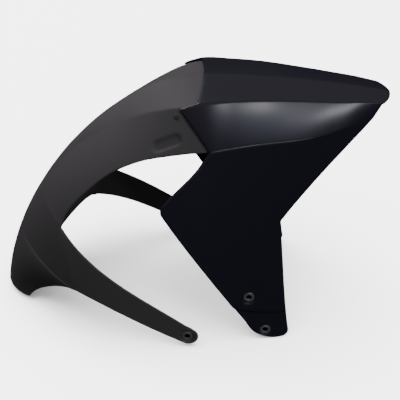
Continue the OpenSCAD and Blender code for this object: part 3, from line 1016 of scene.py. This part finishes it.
class MudguardLook(bpy.types.PropertyGroup):
    """Colours, gloss and studio light."""

    gloss: colour("Gloss paint", "Colour under the clear coat", (0.0016, 0.0014, 0.0026))
    coat_roughness: bpy.props.FloatProperty(
        name="Coat roughness", description="Roughness of the clear coat",
        default=0.04, min=0, max=1, subtype="FACTOR")
    # Painted sheen: the seam colour is set lighter than the tail colour to stand in for the light
    # the crown catches near the cowl.
    satin_seam_sheen: colour(
        "Satin at the seam", "Colour of the hugger near the cowl", (0.024, 0.021, 0.026))
    satin_tail: colour(
        "Satin at the tail", "Colour of the hugger towards the tail", (0.0085, 0.0062, 0.0055))
    satin_roughness: bpy.props.FloatProperty(
        name="Satin roughness", description="Roughness of the hugger",
        default=0.40, min=0, max=1, subtype="FACTOR")
    # Painted shade: the collars' steel is kept far darker than bare steel so that they read as
    # dark fixing holes.
    steel: colour("Steel", "Colour of the collars", (0.16, 0.16, 0.165))
    rivet: colour("Rivet", "Colour of the seam rivets", (0.05, 0.047, 0.05))
    floor: colour("Floor", "Colour of the floor", (0.93, 0.93, 0.93))
    room: bpy.props.FloatProperty(
        name="Room light", description="Strength of the light from all round",
        default=1.0, min=0, max=10)
    lamps: bpy.props.FloatProperty(
        name="Lamps", description="Strength of the small lamps",
        default=1.0, min=0, max=10)


# Pieces

class MUDGUARD_OT_stage(bpy.types.Operator):
    """Adds the floor, the lights and the camera"""

    bl_idname = "mudguard.stage"
    bl_label = "Stage"

    def execute(self, context):
        look = context.scene.mudguard_look
        make_floor(look)
        make_world(look)
        make_lights(look)
        make_camera(context.scene)
        return {"FINISHED"}


class MUDGUARD_OT_cowl(bpy.types.Operator):
    """Builds the gloss front cowl with its side panels, feet and tongues"""

    bl_idname = "mudguard.cowl"
    bl_label = "Front cowl"

    def execute(self, context):
        sizes = context.scene.mudguard_sizes
        piece = make_mesh("cowl_shell", *cowl_surface(sizes))
        points, faces = tongue_surface(sizes)
        tongues = [make_mesh("tongue", points, faces),
                   make_mesh("tongue", points * [1, -1, 1], faces[:, ::-1])]
        apply_boolean(piece, tongues, "UNION")
        holes = [through_hole(UPPER_FIX, COLLAR_HOLE_R), through_hole(LOWER_FIX, COLLAR_HOLE_R)]
        holes += [drill("hole", RIVET_HOLE_R, -14, 0, rivet_axes(side)) for side in (1, -1)]
        apply_boolean(piece, holes, "DIFFERENCE")
        finish_piece(piece, material_of("gloss_black"), ["front_cowl"])
        return {"FINISHED"}


class MUDGUARD_OT_hugger(bpy.types.Operator):
    """Builds the satin rear hugger with its arms"""

    bl_idname = "mudguard.hugger"
    bl_label = "Rear hugger"

    def execute(self, context):
        sizes = context.scene.mudguard_sizes
        piece = make_mesh("hugger_shell", *hugger_surface(sizes))
        holes = [through_hole(ARM_FIX, COLLAR_HOLE_R)]
        holes += [drill("hole", RIVET_HOLE_R, -14, 2, rivet_axes(side)) for side in (1, -1)]
        apply_boolean(piece, holes, "DIFFERENCE")
        finish_piece(piece, material_of("satin_grey"), ["rear_hugger"])
        return {"FINISHED"}


class MUDGUARD_OT_collars(bpy.types.Operator):
    """Builds the six flanged steel collars"""

    bl_idname = "mudguard.collars"
    bl_label = "Collars"

    def execute(self, context):
        upper_y = panel_y(*UPPER_FIX) - FOOT_DISH_DEPTH
        lower_y = panel_y(*LOWER_FIX) - TAB_STEP - FOOT_DISH_DEPTH
        arm_y = flare(radius_of(*ARM_FIX)) - ARM_DISH_DEPTH
        floors = {"foot_collar_upper": (UPPER_FIX, upper_y),
                  "foot_collar_lower": (LOWER_FIX, lower_y), "arm_collar": (ARM_FIX, arm_y)}
        outline = [[BORE_R, -SLEEVE_DEPTH], [SLEEVE_R, -SLEEVE_DEPTH], [SLEEVE_R, 0],
                   [FLANGE_R, 0], [FLANGE_R, FLANGE], [BORE_R, FLANGE]]
        points, faces = turned(rounded(outline, COLLAR_EDGE))
        for name, (fix, floor_y) in floors.items():
            for side, word in ((1, "left"), (-1, "right")):
                at = np.array([fix[0], side * floor_y, fix[1]])
                ring = placed(points, at, [0, 0, side], [1, 0, 0], [0, side, 0])
                piece = make_mesh(name + "_ring_" + word, ring, faces)
                finish_piece(piece, material_of("steel"), [name + "_" + word], 30)
        return {"FINISHED"}


class MUDGUARD_OT_rivets(bpy.types.Operator):
    """Builds the two seam rivets"""

    bl_idname = "mudguard.rivets"
    bl_label = "Seam rivets"

    def execute(self, context):
        base = -(3.3 + float(sink_at(np.float64(RIVET[0]))))
        a = np.linspace(0, np.pi / 2, 9)[:-1]
        dome = np.stack([3.5 * np.cos(a), 0.35 + 0.85 * np.sin(a)], 1)
        back = -5.7
        shape = np.concatenate([[[0.01, back - 1.0], [2.7, back - 1.0], [3.0, back - 0.7],
                                 [3.0, back], [1.8, back], [1.8, 0.1], [3.3, 0.1]],
                                dome, [[0.01, 1.2]]])
        points, faces = turned(shape + [0, base], 48)
        for side, word in ((1, "left"), (-1, "right")):
            piece = make_mesh("seam_rivet_head_" + word, placed(points, *rivet_axes(side)), faces)
            finish_piece(piece, material_of("rivet_black"),
                         ["seam_rivet_" + word], 35)
        return {"FINISHED"}


# Studio

FLOOR_HALF = 6.0
CAMERA_PLACE = (0.0513, -0.9824, 0.8223)
CAMERA_TARGET = (0.017, 0, 0.134)
CAMERA_LENS = 86.4
FLOOR_SUN = 16.0
FLOOR_SUN_SPREAD = 1.4
LAMP_AWAY = 2.5

# Soft boxes: place, target, size, power and colour.
SOFT_BOXES = {
    "box_crown": ((-1.35, 1.15, 1.95), (-0.02, 0, 0.30), (1.3, 0.8), 30, (0.95, 0.93, 1.0)),
    "box_flank": ((1.15, -1.75, 1.75), (0.12, -0.06, 0.28), (1.5, 0.8), 4.6,
                  (0.62, 0.66, 1.0))}

# Small lamps: the point of the part that glints, the way to the lamp, its size and power.
LAMPS = (((83, -54, 299), (0.27, -0.65, 0.71), (0.24, 0.10), 5.0),
         ((175, -42, 290), (0.50, -0.65, 0.57), (0.24, 0.10), 5.0),
         ((82, -77, 263), (0.26, -0.95, 0.06), (0.24, 0.10), 2.2),
         ((142, -65, 263), (0.44, -0.89, 0.02), (0.24, 0.10), 2.2))


def make_floor(look):
    """Pale floor under the part, which neither shows in the gloss nor lights the part."""
    mesh = bpy.data.meshes.new("floor")
    corners = ((-1, -1), (1, -1), (1, 1), (-1, 1))
    mesh.from_pydata([(x * FLOOR_HALF, y * FLOOR_HALF, 0) for x, y in corners], [],
                     [(0, 1, 2, 3)])
    floor = bpy.data.objects.new("floor", mesh)
    bpy.context.scene.collection.objects.link(floor)
    material, _, surface = new_material("pale_floor")
    surface.inputs["Base Color"].default_value = tuple(look.floor) + (1,)
    surface.inputs["Roughness"].default_value = 0.9
    surface.inputs["Specular IOR Level"].default_value = 0.0
    mesh.materials.append(material)
    floor.visible_glossy = False
    floor.visible_diffuse = False


def make_world(look):
    """Dim room for the gloss to mirror: dark round the horizon, paler high up."""
    world = bpy.data.worlds.new("room")
    world.use_nodes = True
    tree = world.node_tree
    tree.nodes.clear()
    s = Shader(tree)
    up = s.add("ShaderNodeSeparateXYZ", None,
               Vector=s.add("ShaderNodeTexCoord").outputs["Generated"]).outputs["Z"]
    colour = s.blend(s.fit(up, 0.05, 0.9), (0.012, 0.012, 0.014, 1), (0.30, 0.28, 0.29, 1))
    back = s.add("ShaderNodeBackground", None, Color=colour, Strength=look.room)
    out = s.add("ShaderNodeOutputWorld")
    tree.links.new(back.outputs[0], out.inputs["Surface"])
    bpy.context.scene.world = world


def area_light(name, place, target, size, power, colour=(1, 1, 1)):
    """Rectangular lamp at a place, facing a target."""
    data = bpy.data.lights.new(name, "AREA")
    data.shape = "RECTANGLE"
    data.size, data.size_y = size
    data.energy = power
    data.color = colour
    lamp = bpy.data.objects.new(name, data)
    bpy.context.scene.collection.objects.link(lamp)
    lamp.location = place
    aim = Vector(target) - Vector(place)
    lamp.rotation_euler = aim.to_track_quat("-Z", "Y").to_euler()


def make_lights(look):
    """Wide sun that lights the floor alone, soft boxes over the part and small lamps."""
    data = bpy.data.lights.new("key", "SUN")
    data.energy = FLOOR_SUN
    data.angle = FLOOR_SUN_SPREAD
    key = bpy.data.objects.new("key", data)
    key.visible_glossy = False
    bpy.context.scene.collection.objects.link(key)
    lit = bpy.data.collections.new("lit_floor")
    lit.objects.link(bpy.data.objects["floor"])
    key.light_linking.receiver_collection = lit
    for name, settings in SOFT_BOXES.items():
        area_light(name, *settings)
    for k, (at, toward, size, share) in enumerate(LAMPS):
        place = np.array(at) * MM + LAMP_AWAY * np.array(toward)
        area_light("lamp_%d" % k, place, np.array(at) * MM, size, share * look.lamps)


def make_camera(scene):
    """Camera at the photograph's angle, 35 degrees above the part's side."""
    data = bpy.data.cameras.new("camera")
    data.lens = CAMERA_LENS
    data.sensor_width = 36
    camera = bpy.data.objects.new("camera", data)
    scene.collection.objects.link(camera)
    camera.location = CAMERA_PLACE
    aim = Vector(CAMERA_TARGET) - Vector(CAMERA_PLACE)
    camera.rotation_euler = aim.to_track_quat("-Z", "Y").to_euler()
    scene.camera = camera


class MUDGUARD_PT_panel(bpy.types.Panel):
    """Lists the settings and the pieces"""

    bl_idname = "MUDGUARD_PT_panel"
    bl_label = "Front Mudguard"
    bl_space_type = "VIEW_3D"
    bl_region_type = "UI"
    bl_category = "Mudguard"

    def draw(self, context):
        layout = self.layout
        for group in (context.scene.mudguard_sizes, context.scene.mudguard_look):
            box = layout.box()
            for name in group.__annotations__:
                box.prop(group, name)
        for operator in OPERATORS:
            layout.operator(operator.bl_idname)


OPERATORS = (MUDGUARD_OT_stage, MUDGUARD_OT_cowl, MUDGUARD_OT_hugger, MUDGUARD_OT_collars,
             MUDGUARD_OT_rivets)
CLASSES = (MudguardSizes, MudguardLook, *OPERATORS, MUDGUARD_PT_panel)


def register():
    """Registers the classes and hangs the settings on the scene."""
    for cls in CLASSES:
        bpy.utils.register_class(cls)
    bpy.types.Scene.mudguard_sizes = bpy.props.PointerProperty(type=MudguardSizes)
    bpy.types.Scene.mudguard_look = bpy.props.PointerProperty(type=MudguardLook)


def unregister():
    """Takes the settings and the classes away again."""
    del bpy.types.Scene.mudguard_look
    del bpy.types.Scene.mudguard_sizes
    for cls in reversed(CLASSES):
        bpy.utils.unregister_class(cls)


def main():
    """Builds every piece in order."""
    register()
    bpy.ops.mudguard.stage()
    bpy.ops.mudguard.cowl()
    bpy.ops.mudguard.hugger()
    bpy.ops.mudguard.collars()
    bpy.ops.mudguard.rivets()


if __name__ == "__main__":
    main()
